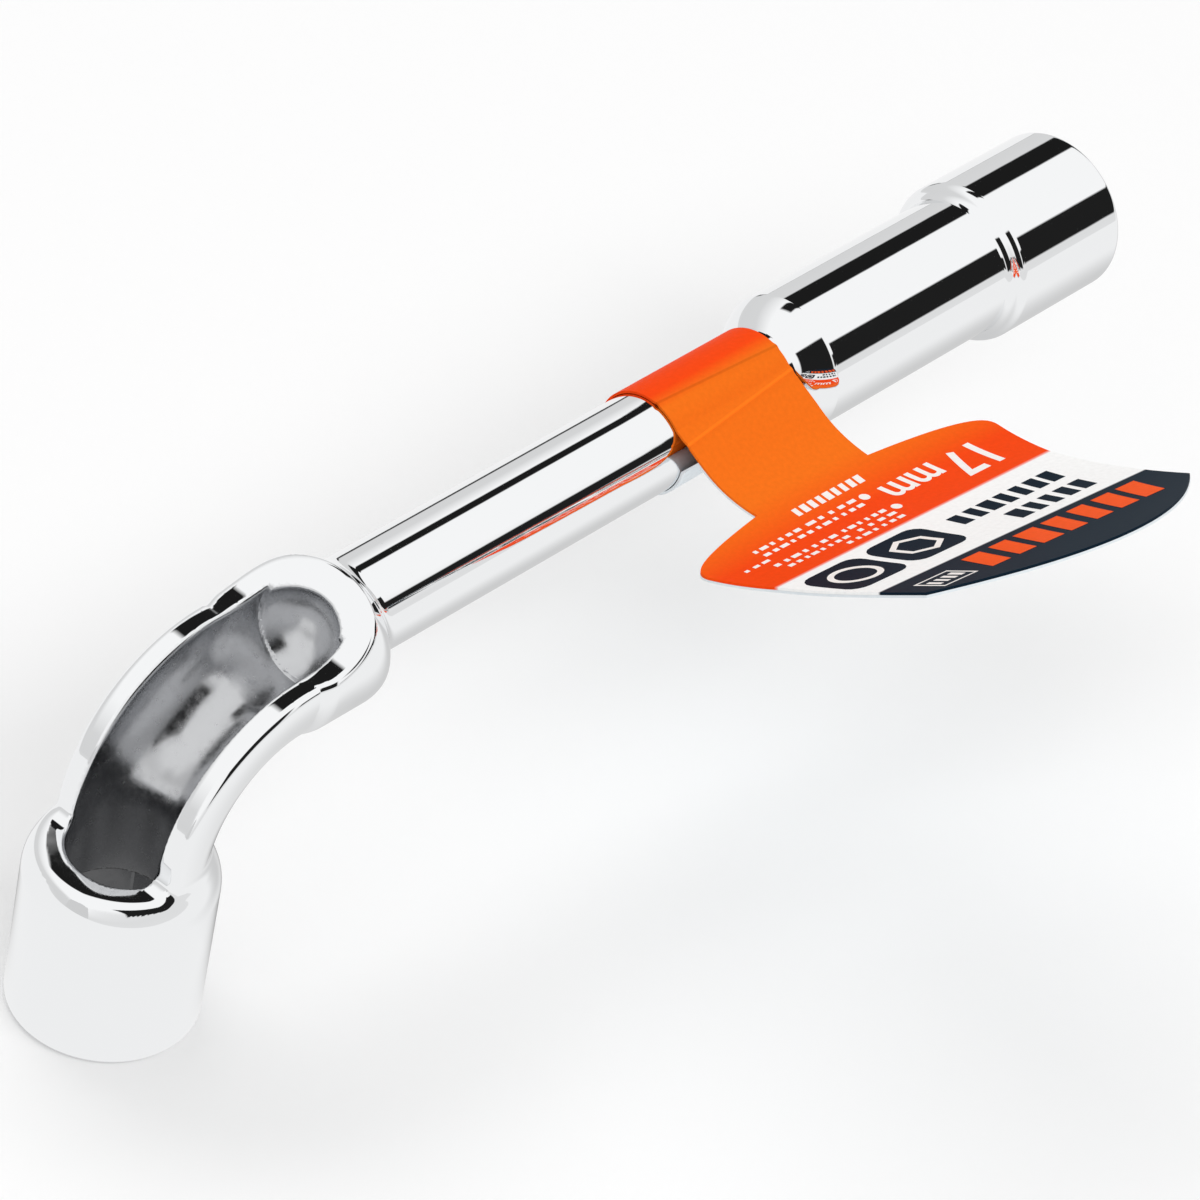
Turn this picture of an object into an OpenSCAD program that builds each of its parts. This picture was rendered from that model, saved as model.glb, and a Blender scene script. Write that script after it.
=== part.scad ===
// Double-ended angled socket wrench, 17 mm: an open elbow head that a long stud
// can pass through, a plain shaft, a straight head, and a folded hang tag on a
// strap round the shaft. Origin at the centre of the elbow head's mouth, +X along
// the shaft towards the straight head, +Z up. The steel is symmetric about Y = 0.

/* [Hexagons] */
// Across flats of both hexagons
hex_af = 17.2; // [17.1:0.1:17.4]
// Depth of the elbow head's hexagon
elbow_hex_depth = 15; // [14:0.5:18]
// Depth of the straight head's hexagon
straight_hex_depth = 20; // [16:0.5:22]
// Radius of the round bore behind each hexagon
bore_r = 7.3; // [7:0.1:7.8]

/* [Elbow head] */
// Outside diameter of the elbow head
elbow_od = 25; // [24:0.5:27]
// Radius of the rounding on the elbow head's shoulder
shoulder_r = 6.5; // [6:0.5:7]

/* [Bend] */
// Height of the shaft's axis over the elbow head's mouth
shaft_h = 45.6; // [44:0.2:50]
// Radius of the bend, at the tube's centre line
bend_r = 20; // [19:0.5:21]
// Outside radius of the bent tube
tube_r = 10.5; // [10.2:0.1:11]
// How far the milled rims stand outside the bend's centre line
rim_rise = 2.2; // [1:0.2:4]

/* [Collar and shaft] */
// Radius of the collar where the bend meets the shaft
collar_r = 11; // [10.8:0.1:11.6]
// Distance from the elbow head's axis to where the collar has faded into the shaft
collar_end = 38; // [37.8:0.2:40]
// Radius of the blind pocket at the end of the trough
pocket_r = 6.8; // [6:0.1:6.9]
// Radius of the mill's run-out, where the rims rise to the collar's top
runout_r = 16.5; // [14:0.5:20]
// Radius of the shaft
shaft_r = 6.95; // [6.5:0.05:7.2]

/* [Barrel and straight head] */
// Distance from the elbow head's axis to where the shaft widens into the barrel
barrel_start = 115.6; // [115:0.2:118]
// Length of the shoulder between shaft and barrel
barrel_shoulder = 4.6; // [3.4:0.2:6]
// Radius of the barrel
barrel_r = 9.9; // [9.6:0.1:10.4]
// Outside diameter of the straight head
straight_od = 23.2; // [22.8:0.2:25]
// Distance from the elbow head's axis to the start of the straight head
head_start = 157; // [154:0.5:158]
// Distance from the elbow head's axis to the straight head's mouth
reach = 180; // [178.5:0.5:190]

/* [Hang tag] */
// Where the strap's middle sits along the shaft
tag_x = 103.1; // [96:0.1:103.4]
// Width of the strap
strap_w = 22.9; // [18:0.1:23]
// Widest part of the card
card_w = 60.8; // [50:0.2:66]
// Length of the tag from its crease at the shaft to the middle of its outer edge
tag_length = 67; // [62:0.2:72]
// Thickness of one layer of the tag
sheet_t = 0.35; // [0.25:0.05:0.4]
// Clearance between the strap and the shaft
strap_gap = 0.08; // [0.05:0.01:0.1]

/* [Hidden] */
$fn = 96;
SWEEP = 60;                 // length of a mill's sweep, longer than the elbow is wide
EPS = 0.01;                 // overrun that keeps a cut's faces clean
OVER = 1;                   // overrun of a bore into its neighbour

elbow_r = elbow_od / 2;
straight_r = straight_od / 2;
hex_corner_r = hex_af / 2 / cos(30);
lead_in_r = hex_corner_r + 0.3;         // the bevel in each mouth
lead_in_h = 1.2;
lead_in_taper = 2;                      // how much narrower the bevel's cone is at its top
mouth_edge_r = 0.6;                     // rounding of each mouth's outer edge
neck_h = shaft_h - bend_r;              // where the elbow head ends and the bend begins
dome_r = elbow_r - shoulder_r;          // radius at which the shoulder's rounding is centred
elbow_wall_h = neck_h - sqrt(pow(shoulder_r, 2) - pow(tube_r - dome_r, 2));
collar_blend = 3;                       // length over which the tube widens into the collar
collar_ball_r = 12.6;                   // the ball that rounds the collar's end
collar_ball = [25.6, 0, shaft_h - 2];   // its centre, low enough to leave less on top
pocket_start = 27.4;                    // where the trough ends in a dished pocket
barrel_bore_start = 126;                // where the straight bore's full width ends
drill_tip_h = bore_r / tan(59);         // the cone that a 118 degree drill leaves

// ---- Steel ----

// Points on an arc: centre, radius, first and last angle, number of steps
function arc(c, r, a0, a1, n = 16) =
    [for (i = [0:n]) c + r * [cos(a0 + (a1 - a0) * i / n), sin(a0 + (a1 - a0) * i / n)]];

// Radius of the arc that rises by dr over a length dx and ends parallel to the axis
function rise_r(dr, dx) = (dr * dr + dx * dx) / (2 * dr);

// Points on such an arc, from radius r0 at x0 up to radius r1 at x0 + dx
function rise(r0, r1, x0, dx) = let (r = rise_r(r1 - r0, dx))
    arc([r1 - r, x0 + dx], r, -asin(dx / r), 0);

// Turns a profile of [radius, distance from the elbow head's axis] round the shaft's axis
module turned(points) {
    translate([0, 0, shaft_h]) rotate([0, 90, 0]) rotate_extrude() polygon(points);
}

// A round bar along the shaft's axis, from x0 to x1
module bar(r, x0, x1) {
    translate([x0, 0, shaft_h]) rotate([0, 90, 0]) cylinder(h = x1 - x0, r = r);
}

// A quarter ring with a round section, round the bend's centre
module quarter_ring(r) {
    translate([bend_r, 0, neck_h]) rotate([90, 0, 0]) rotate_extrude(angle = 90, start = 90)
        translate([bend_r, 0]) circle(r = r);
}

// A hexagonal hole upwards from z = 0, with flats across X and a bevelled mouth
module hex_hole(depth) {
    translate([0, 0, -OVER]) rotate([0, 0, 30])
        cylinder(h = depth + OVER, r = hex_corner_r, $fn = 6);
    translate([0, 0, -EPS]) cylinder(h = lead_in_h, r1 = lead_in_r, r2 = lead_in_r - lead_in_taper);
}

// A mill's sweep: a round bar across the wrench, over the bend's end of the collar
module across_bar(r, z) {
    translate([bend_r, SWEEP / 2, z]) rotate([90, 0, 0]) cylinder(h = SWEEP, r = r);
}

module elbow_head() {
    color("gainsboro") difference() {
        rotate_extrude() polygon(concat(
            [[0, 0]],
            arc([elbow_r - mouth_edge_r, mouth_edge_r], mouth_edge_r, -90, 0, 6),
            arc([dome_r, elbow_wall_h], shoulder_r, 0, acos((tube_r - dome_r) / shoulder_r)),
            [[0, neck_h]]));
        hex_hole(elbow_hex_depth);
        cylinder(h = shaft_h, r = bore_r);
    }
}

module elbow_bend() {
    color("gainsboro") intersection() {
        difference() {
            quarter_ring(tube_r);
            quarter_ring(bore_r);
        }
        across_bar(bend_r + rim_rise, neck_h);      // the back is milled away down to the rims
    }
}

module collar() {
    dish = sqrt(pow(bore_r, 2) - pow(pocket_r, 2));
    color("gainsboro") difference() {
        union() {
            turned([[0, bend_r], [tube_r, bend_r], [collar_r, bend_r + collar_blend],
                    [collar_r, collar_ball[0]], [0, collar_ball[0]]]);
            intersection() {
                bar(collar_r, collar_ball[0] - EPS, collar_end);
                translate(collar_ball) sphere(r = collar_ball_r);
            }
            bar(shaft_r, collar_ball[0], collar_end);
        }
        turned(concat(
            [[0, bend_r - EPS], [bore_r, bend_r - EPS]],
            arc([0, pocket_start - dish], bore_r, asin(dish / bore_r), 90, 10)));
        across_bar(runout_r, shaft_h + rim_rise + runout_r);
    }
}

module shaft() {
    color("gainsboro") bar(shaft_r, collar_end, barrel_start);
}

module barrel() {
    color("gainsboro") difference() {
        turned(concat(
            [[0, barrel_start]],
            rise(shaft_r, barrel_r, barrel_start, barrel_shoulder),
            [[barrel_r, head_start], [0, head_start]]));
        bar(bore_r, barrel_bore_start, head_start + OVER);
        translate([barrel_bore_start - drill_tip_h, 0, shaft_h]) rotate([0, 90, 0])
            cylinder(h = drill_tip_h + EPS, r1 = 0, r2 = bore_r);
    }
}

module straight_head() {
    head_shoulder = 2.2;
    color("gainsboro") difference() {
        turned(concat(
            [[0, head_start]],
            rise(barrel_r, straight_r, head_start, head_shoulder),
            arc([straight_r - mouth_edge_r, reach - mouth_edge_r], mouth_edge_r, 0, 90, 6),
            [[0, reach]]));
        bar(bore_r, head_start - OVER, reach - straight_hex_depth + EPS);
        translate([reach, 0, shaft_h]) rotate([0, -90, 0]) hex_hole(straight_hex_depth);
    }
}

// ---- Hang tag ----
// The tag is a folded strip. Its front leaf goes over the shaft, creases where it
// leaves the steel, and runs out as a card that curls up and twists a little. Places
// on it are (u, s): u across, s along from the crease. A height h of 0 is the face.

outer_r = shaft_r + strap_gap + sheet_t;    // the strap's outside where it hugs the shaft
crease_a = 133;                             // angle round the shaft at which it creases
crease_s = crease_a / 180 * PI * outer_r;   // length of strap from its rear to the crease
fold_s = 5;                                 // where the two leaves meet and the card folds
fold_gap = 0.4;                             // space each side of the fold line
flare_s = 16;                               // where the strap flares out into the card
side_s = 22;                                // where the card reaches its full width
start_slope = -26;
end_slope = 35;
curl_s = 7;                                 // where the card starts to curl up
curl_length = 14.5;
twist_from = 6;
twist_length = 62;
twist_max = 9.4;
flare_power = 2.7;                          // how quickly the flare turns in to the sides
narrowing = 1.2;                            // how much the card narrows beyond the flare,
narrowing_length = 10;                      // and over what length
square_end = 48;                            // where the card's straight rows end
strap_back_end = 2.4;                       // where the back leaf leaves the front one
bow = 10.6;                                 // how far the outer edge bows out
card_shift = 1.8;                           // how far the card sits off the strap's middle
STEP = 1;                                   // spacing of the computed points along the tag

// Slope of the front leaf at s, in degrees, and its twist about Y
function slope(s) = s < curl_s ? start_slope :
    end_slope - (end_slope - start_slope) * exp(-(s - curl_s) / curl_length);
function twist(s) = s < twist_from ? 0 :
    twist_max * sin(min(90, 90 * (s - twist_from) / twist_length));

// The front leaf's line beyond the crease as [y, z] for s = 0, STEP, 2 STEP and so on
LINE = [for (i = 0, p = outer_r * [cos(crease_a), sin(crease_a)];
             i * STEP <= tag_length + STEP;
             a = slope((i + 0.5) * STEP), p = p + STEP * [-cos(a), sin(a)], i = i + 1) p];

// A point on that line, and before the crease one on the round of the shaft
function line_at(s) = let (i = floor(s / STEP), f = s / STEP - i) LINE[i] * (1 - f) + LINE[i + 1] * f;
function round_at(s, r) = let (a = crease_a + s / outer_r * 180 / PI) r * [cos(a), sin(a)];

// The place in space of u, s and h
function on_tag(u, s, h) = s < 0
    ? let (p = round_at(s, outer_r + h)) [tag_x + u, p[0], shaft_h + p[1]]
    : let (p = line_at(s), a = slope(s), t = twist(s))
        [tag_x + u * cos(t) + h * sin(t) * cos(a),
         p[0] + h * sin(a),
         shaft_h + p[1] - u * sin(t) + h * cos(a) * cos(t)];

// How far the tag has flared out at s: 0 on the strap, 1 on the card
function flare(s) = 1 - pow(1 - min(1, max(0, (s - flare_s) / (side_s - flare_s))), flare_power);

// The tag's cross line at s and v, from -1 at one edge to 1 at the other
function across(s, v) = let (
        f = flare(s),
        narrowed = narrowing * min(1, max(0, (s - side_s) / narrowing_length)))
    card_shift * f + v * (strap_w / 2 * (1 - f) + card_w / 2 * f - narrowed);

// A closed sheet between heights h0 and h1 from a grid of rows, each a list of [u, s]
module sheet(rows, h0, h1) {
    n = len(rows);
    m = len(rows[0]);
    low = [for (row = rows, q = row) on_tag(q[0], q[1], h0)];
    high = [for (row = rows, q = row) on_tag(q[0], q[1], h1)];
    rim = concat([for (j = [0:m - 1]) j],
                 [for (i = [1:n - 1]) i * m + m - 1],
                 [for (j = [m - 2:-1:0]) (n - 1) * m + j],
                 [for (i = [n - 2:-1:1]) i * m]);
    k = n * m;
    cells = [for (i = [0:n - 2], j = [0:m - 2]) i * m + j];
    polyhedron(concat(low, high), concat(
        [for (c = cells) [c, c + m, c + 1]],
        [for (c = cells) [c + 1, c + m, c + m + 1]],
        [for (c = cells) [k + c, k + c + 1, k + c + m]],
        [for (c = cells) [k + c + 1, k + c + m + 1, k + c + m]],
        [for (i = [0:len(rim) - 1]) let (a = rim[i], b = rim[(i + 1) % len(rim)]) [a, k + b, k + a]],
        [for (i = [0:len(rim) - 1]) let (a = rim[i], b = rim[(i + 1) % len(rim)]) [a, b, k + b]]));
}

ACROSS = [-1, 0, 1];
CARD_ACROSS = [for (i = [-8:8]) sin(90 * i / 8)];
STRAP_ROWS = concat([for (i = [0:16]) crease_s * (i / 16 - 1)], [1, strap_back_end, fold_s - fold_gap]);
CARD_ROWS = concat([fold_s + fold_gap], [for (s = [8:4:12]) s],
                   [for (i = [0:8]) flare_s + (side_s - flare_s) * pow(i / 8, 1.6)],
                   [for (s = [side_s + 4:4:square_end]) s]);

// The card's grid: rows at a fixed s, then rows that spread out to the bowed edge
function card_grid() = let (edge = tag_length - bow)
    concat([for (s = CARD_ROWS) [for (v = CARD_ACROSS) [across(s, v), s]]],
           [for (f = [0.25:0.25:1]) [for (v = CARD_ACROSS)
               [across(square_end, v),
                square_end + f * (edge + bow * (1 - v * v) - square_end)]]]);

module tag_strap_front() {
    color("darkorange")
        sheet([for (s = STRAP_ROWS) [for (v = ACROSS) [v * strap_w / 2, s]]], -sheet_t, 0);
}

// The back leaf hugs the shaft's underside and closes against the front leaf
module tag_strap_back() {
    down = sheet_t * [-sin(start_slope), -cos(start_slope)];
    meet = line_at(fold_s - fold_gap) + down;
    color("aliceblue") translate([tag_x - strap_w / 2, 0, shaft_h]) rotate([90, 0, 90])
        linear_extrude(strap_w) polygon(concat(
            arc([0, 0], outer_r, 0, -178, 32),
            [meet + down, meet, line_at(strap_back_end) + down],
            arc([0, 0], outer_r - sheet_t, -190, 0, 34)));
}

module tag_card_front() {
    color("darkorange") sheet(card_grid(), -sheet_t, 0);
}

module tag_card_back() {
    color("aliceblue") sheet(card_grid(), -2 * sheet_t, -sheet_t);
}

elbow_head();
elbow_bend();
collar();
shaft();
barrel();
straight_head();
tag_strap_front();
tag_strap_back();
tag_card_front();
tag_card_back();
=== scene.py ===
import math

import bmesh
import bpy
import numpy as np
from mathutils import Euler, Matrix, Vector


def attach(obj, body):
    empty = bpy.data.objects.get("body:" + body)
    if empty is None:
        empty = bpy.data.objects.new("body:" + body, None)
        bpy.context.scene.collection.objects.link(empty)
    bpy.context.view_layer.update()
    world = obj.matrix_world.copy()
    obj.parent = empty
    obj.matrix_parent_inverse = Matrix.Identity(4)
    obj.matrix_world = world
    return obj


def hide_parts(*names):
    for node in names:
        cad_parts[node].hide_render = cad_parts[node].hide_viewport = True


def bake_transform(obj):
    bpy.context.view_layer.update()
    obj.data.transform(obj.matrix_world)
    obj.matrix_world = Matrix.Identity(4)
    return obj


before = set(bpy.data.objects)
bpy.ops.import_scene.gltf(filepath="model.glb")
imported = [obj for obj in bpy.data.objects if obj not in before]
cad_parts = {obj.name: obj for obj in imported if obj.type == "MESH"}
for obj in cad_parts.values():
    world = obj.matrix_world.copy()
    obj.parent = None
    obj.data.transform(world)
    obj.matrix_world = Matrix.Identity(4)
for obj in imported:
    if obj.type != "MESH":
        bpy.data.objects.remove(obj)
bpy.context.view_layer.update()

# ---- Bench, lights and camera ----
# A white laminate bench top under a tent of white cloth, lit softly by two overhead
# strips. Black flags hung along the tent give the plated steel its dark bands. Only
# reflections see the tent and its flags.
MM = 0.001
AXIS_H = 45.6  # height of the shaft's axis over the bench, in millimetres
scene = bpy.context.scene
scene.view_settings.view_transform = "Standard"


def linear(hex_colour):
    """An sRGB hex colour as the linear colour that the shaders expect."""
    parts = [int(hex_colour[i : i + 2], 16) / 255 for i in (1, 3, 5)]
    return [c / 12.92 if c <= 0.04045 else ((c + 0.055) / 1.055) ** 2.4 for c in parts] + [1]


def add(tree, kind, links=(), **settings):
    """A new node: settings are its properties, or its sockets' values by name or number;
    links are (input, socket) pairs."""
    node = tree.nodes.new(kind)
    values = settings.pop("values", {})
    for name, value in settings.items():
        setattr(node, name, value)
    for name, value in values.items():
        node.inputs[name].default_value = value
    for name, socket in links:
        tree.links.new(socket, node.inputs[name])
    return node


def material(name):
    """A new material's node tree with its Principled shader, and the material."""
    made = bpy.data.materials.new(name)
    made.use_nodes = True
    return made.node_tree, made.node_tree.nodes["Principled BSDF"], made


def new_piece(name, vertices, faces, made_of):
    """A mesh object at the origin, from points in metres."""
    mesh = bpy.data.meshes.new(name)
    mesh.from_pydata([tuple(v) for v in vertices], [], [tuple(f) for f in faces])
    mesh.update()
    obj = bpy.data.objects.new(name, mesh)
    scene.collection.objects.link(obj)
    mesh.materials.append(made_of)
    return obj


def seen_in_reflections_only(obj):
    """Hides an object from everything but mirror-like surfaces."""
    for sight in ("camera", "diffuse", "shadow", "transmission", "volume_scatter"):
        setattr(obj, "visible_" + sight, False)


# Laminate: a matt pressed sheet, even and nearly white
tree, shader, laminate = material("white_laminate_pressed")
shader.inputs["Base Color"].default_value = linear("#FDFDFD")
shader.inputs["Roughness"].default_value = 0.7
BENCH = 4.0  # half its width, in metres
BENCH_CORNERS = [(-BENCH, -BENCH, 0), (BENCH, -BENCH, 0), (BENCH, BENCH, 0), (-BENCH, BENCH, 0)]
bench = new_piece("bench_top", BENCH_CORNERS, [(0, 1, 2, 3)], laminate)
bench.location.z = -0.2 * MM
bench.visible_glossy = False

# What the plating shows of the bench: a glowing white sheet with painted shadows, darker under the
# wrench and in the lee of its elbow head, and painted shade inside the head's mouth. Only
# reflections see it.
LEE_AT = (20 * MM, 15 * MM, 0)
MOUTH_FROM, MOUTH_TO = 10.0 * MM, 12.5 * MM
tree, shader, painted_shadow_sheet = material("bench_reflection_with_painted_shadows")
tree.nodes.remove(shader)
where = add(tree, "ShaderNodeTexCoord")
# painted shadow in the lee of the elbow head
elbow_lee = add(
    tree, "ShaderNodeVectorMath", [(0, where.outputs["Object"])], operation="SUBTRACT",
    values={1: LEE_AT},
)
elbow_lee = add(tree, "ShaderNodeVectorMath", [(0, elbow_lee.outputs[0])], operation="LENGTH")
painted_lee_shadow = add(
    tree, "ShaderNodeMapRange", [("Value", elbow_lee.outputs["Value"])],
    interpolation_type="SMOOTHERSTEP",
    values={"From Min": 0.004, "From Max": 0.034, "To Min": 0.12, "To Max": 1.0},
)
part = add(tree, "ShaderNodeSeparateXYZ", [("Vector", where.outputs["Object"])])
sideways = add(tree, "ShaderNodeMath", [(0, part.outputs["Y"])], operation="ABSOLUTE")
# painted shadow in a strip under the shaft, deeper away from the head
below = add(
    tree, "ShaderNodeMapRange", [("Value", part.outputs["X"])],
    values={"From Min": 0.02, "From Max": 0.06, "To Min": 0.93, "To Max": 0.64},
)
strip = add(
    tree, "ShaderNodeMapRange", [("Value", sideways.outputs[0]), ("To Min", below.outputs[0])],
    interpolation_type="SMOOTHERSTEP",
    values={"From Min": 0.0, "From Max": 0.07, "To Max": 0.93},
)
level = add(
    tree, "ShaderNodeMath", [(0, painted_lee_shadow.outputs[0]), (1, strip.outputs[0])], operation="MULTIPLY"
)
# painted shade inside the head's mouth
from_head = add(tree, "ShaderNodeVectorMath", [(0, where.outputs["Object"])], operation="LENGTH")
painted_mouth_shade = add(
    tree, "ShaderNodeMapRange", [("Value", from_head.outputs["Value"])],
    values={"From Min": MOUTH_FROM, "From Max": MOUTH_TO, "To Min": 0.2, "To Max": 1.0},
)
level = add(
    tree, "ShaderNodeMath", [(0, level.outputs[0]), (1, painted_mouth_shade.outputs[0])], operation="MULTIPLY"
)
glow = add(tree, "ShaderNodeEmission", [("Strength", level.outputs[0])])
tree.links.new(glow.outputs[0], tree.nodes["Material Output"].inputs["Surface"])
painted_shadow_sheet.cycles.emission_sampling = "NONE"
reflected = new_piece("bench_in_reflections", BENCH_CORNERS, [(0, 1, 2, 3)], painted_shadow_sheet)
reflected.location.z = -0.3 * MM
seen_in_reflections_only(reflected)

world = bpy.data.worlds.new("tent_daylight")
scene.world = world
world.use_nodes = True
world.node_tree.nodes["Background"].inputs["Color"].default_value = linear("#FFFFFF")
world.node_tree.nodes["Background"].inputs["Strength"].default_value = 0.66

# The tent: a long tube round the wrench's line. Its cloth's brightness goes by the angle
# round that line, from +Y over the top to -Y, in degrees. The flags are black strips that
# hang inside it. Each has two edges, lower and upper, with their angles at LEAN_FROM and
# at LEAN_TO, then the x that it runs between, in metres, and how bright it is.
TENT_R, TENT_FROM, TENT_TO, TENT_SIDES = 0.6, -2.5, 2.5, 96
LEAN_FROM, LEAN_TO = 0.60, 0.65
SOFT_EDGE, SOFT_END = 1.2, 0.02  # how far a flag blurs each way, in degrees and in metres
CLOTH = [
    (-90, 0.80), (-12, 0.80), (0, 0.70), (26, 0.72), (50, 1.0), (140, 1.0), (176, 0.78),
    (230, 0.88),
]
FLAGS = [
    ((52, 29), (68, 61), (0.12, 3.0), 0.012),
    ((150, 135), (167, 172), (0.30, 3.0), 0.014),
    ((122, 122), (170, 170), (-0.45, 0.20), 0.014),
    ((-11, -9), (3, -4), (0.44, 3.0), 0.06),
]
tree, shader, cloth = material("tent_cloth_with_flags")
tree.nodes.remove(shader)
where = add(tree, "ShaderNodeTexCoord")
part = add(tree, "ShaderNodeSeparateXYZ", [("Vector", where.outputs["Object"])])
# the angle runs from SEAM_ANGLE, at the bottom, where the bench hides the seam
SEAM_ANGLE = -90
angle = add(
    tree, "ShaderNodeMath", [(0, part.outputs["Z"]), (1, part.outputs["Y"])], operation="ARCTAN2"
)
for operation, value in (
    ("MULTIPLY", 180 / math.pi), ("SUBTRACT", SEAM_ANGLE), ("FLOORED_MODULO", 360),
    ("ADD", SEAM_ANGLE),
):
    angle = add(
        tree, "ShaderNodeMath", [(0, angle.outputs[0])], operation=operation, values={1: value}
    )
ramp = add(tree, "ShaderNodeValToRGB")
share = add(
    tree, "ShaderNodeMapRange", [("Value", angle.outputs[0])],
    values={"From Min": SEAM_ANGLE, "From Max": SEAM_ANGLE + 360},
)
tree.links.new(share.outputs[0], ramp.inputs["Fac"])
for i, (degrees, bright) in enumerate(CLOTH):
    place = (degrees - SEAM_ANGLE) / 360
    stop = ramp.color_ramp.elements[i] if i < 2 else ramp.color_ramp.elements.new(place)
    stop.position = place
    stop.color = (bright, bright, bright, 1)
shade = ramp
for lower, upper, (x_from, x_to), bright in FLAGS:
    masks = []
    for at_low, at_high, sign in ((*lower, 1), (*upper, -1)):
        edge = add(
            tree, "ShaderNodeMapRange", [("Value", part.outputs["X"])],
            values={
                "From Min": LEAN_FROM, "From Max": LEAN_TO, "To Min": at_low, "To Max": at_high,
            },
        )
        over = add(
            tree, "ShaderNodeMath", [(0, angle.outputs[0]), (1, edge.outputs[0])],
            operation="SUBTRACT",
        )
        masks.append(add(
            tree, "ShaderNodeMapRange", [("Value", over.outputs[0])],
            values={"From Min": -SOFT_EDGE * sign, "From Max": SOFT_EDGE * sign},
        ))
    for place, sign in ((x_from, 1), (x_to, -1)):
        masks.append(add(
            tree, "ShaderNodeMapRange", [("Value", part.outputs["X"])],
            values={"From Min": place - SOFT_END * sign, "From Max": place + SOFT_END * sign},
        ))
    covered = masks[0]
    for mask in masks[1:]:
        covered = add(
            tree, "ShaderNodeMath", [(0, covered.outputs[0]), (1, mask.outputs[0])],
            operation="MULTIPLY",
        )
    # A ramp's output is Color and a mix's is number 2
    before = shade.outputs["Color"] if shade is ramp else shade.outputs[2]
    shade = add(
        tree, "ShaderNodeMix", [(0, covered.outputs[0]), (6, before)], data_type="RGBA",
        values={7: (bright, bright, bright, 1)},
    )
glow = add(tree, "ShaderNodeEmission", [("Color", shade.outputs[2])])
tree.links.new(glow.outputs[0], tree.nodes["Material Output"].inputs["Surface"])
cloth.cycles.emission_sampling = "NONE"
tent_angles = [2 * math.pi * i / TENT_SIDES for i in range(TENT_SIDES)]
tent_points = [
    (x, TENT_R * math.cos(a), TENT_R * math.sin(a))
    for x in (TENT_FROM, TENT_TO) for a in tent_angles
]
tent_faces = [
    (i, (i + 1) % TENT_SIDES, TENT_SIDES + (i + 1) % TENT_SIDES, TENT_SIDES + i)
    for i in range(TENT_SIDES)
]
tent = new_piece("light_tent", tent_points, tent_faces, cloth)
tent.location.z = AXIS_H * MM
seen_in_reflections_only(tent)

# Two soft strip lamps over the wrench, one each side, aimed at its middle: each one's
# place and size in metres and its power in watts
LAMPS_AIM = Vector((80 * MM, 0, 0))
for name, place, size, power in (
    ("strip_left", (-0.2, -0.9, 1.1), (1.4, 0.5), 7),
    ("strip_right", (0.4, 0.9, 1.2), (1.4, 0.5), 5),
):
    lamp = bpy.data.lights.new(name, "AREA")
    lamp.shape = "RECTANGLE"
    lamp.size, lamp.size_y = size
    lamp.energy = power
    holder = bpy.data.objects.new(name, lamp)
    scene.collection.objects.link(holder)
    holder.location = place
    towards = LAMPS_AIM - holder.location
    holder.rotation_euler = towards.to_track_quat("-Z", "Y").to_euler()
    holder.visible_glossy = False

# A long lens from the elbow head's side, looking down and tilted a little
CAMERA_AT = (-0.415033, -0.344538, 0.517370)
CAMERA_TURNS = (50.183, -9.48, -47.8767)  # about x, y and z, in degrees
camera_data = bpy.data.cameras.new("camera")
camera = bpy.data.objects.new("camera", camera_data)
scene.collection.objects.link(camera)
scene.camera = camera
camera_data.sensor_width = 36
camera_data.lens = 177.07
camera_data.clip_start, camera_data.clip_end = 0.02, 20
turned = Euler([math.radians(a) for a in CAMERA_TURNS])
camera.matrix_world = Matrix.LocRotScale(Vector(CAMERA_AT), turned, None)

# ---- Elbow head, bend and collar ----
# One drop forging of chrome vanadium steel: a hexagon socket at the mouth, a bent tube
# with its back milled open so that a long stud can pass, and a collar that fades into
# the shaft. Its outside is polished and plated; the drilled inside stays rougher.

# Every piece's sizes are in millimetres.
HEX_R, HEX_DEPTH, BORE_R = 8.6, 15.0, 7.3  # half the hexagon's width, its depth, the bore
HEX_BEVEL, HEX_BEVEL_SLOPE = 0.35, 1.2
HEAD_R, SHOULDER_R = 12.5, 6.5
WALL_H, NECK_H = 20.91, 25.6  # where the head's straight wall ends and where its top is
BEND_R, TUBE_R, RIM_RISE = 20.0, 10.5, 2.2  # bend, tube, and the rims over the bend's line
TUBE_DIP = 8.0  # how far the tube's foot reaches down into the head
COLLAR_R, COLLAR_BLEND, RUNOUT_R = 11.0, 3.0, 16.5
BALL, BALL_R = (25.6, 43.6), 12.6  # the ball that the collar's far end is rounded to: x, z
POCKET_X, POCKET_R = 27.4, 6.8  # where the bore's dished end starts, and its radius there
SHAFT_R = 6.95
SEAM_X = 42.0  # where this piece meets the plain shaft
# how wide each edge's rounding and each inner corner's fillet is
TOP_EDGE, MOUTH_EDGE, COLLAR_EDGE, RIM_EDGE, BORE_EDGE = 0.6, 1.2, 1.6, 0.9, 0.7
NECK_FILLET, SHAFT_FILLET, LEDGE_FILLET = 1.6, 1.0, 2.4
COS_30 = math.cos(math.pi / 6)


def soft_min(a, b, k):
    """The smaller of two distances, with the corner between them rounded over k."""
    h = np.maximum(k - np.abs(a - b), 0) / k
    return np.minimum(a, b) - h * h * k / 4


def soft_max(a, b, k):
    """The larger of two distances, with the corner between them rounded over k."""
    return -soft_min(-a, -b, k)


def along_tube(x, y, z):
    """Distance from the bent tube's centre line."""
    bend = np.hypot(np.hypot(x - BEND_R, z - NECK_H) - BEND_R, y)
    upright = np.hypot(x, y)
    level = np.hypot(z - AXIS_H, y)
    return np.where(x > BEND_R, level, np.where(z < NECK_H, upright, bend))


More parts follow.
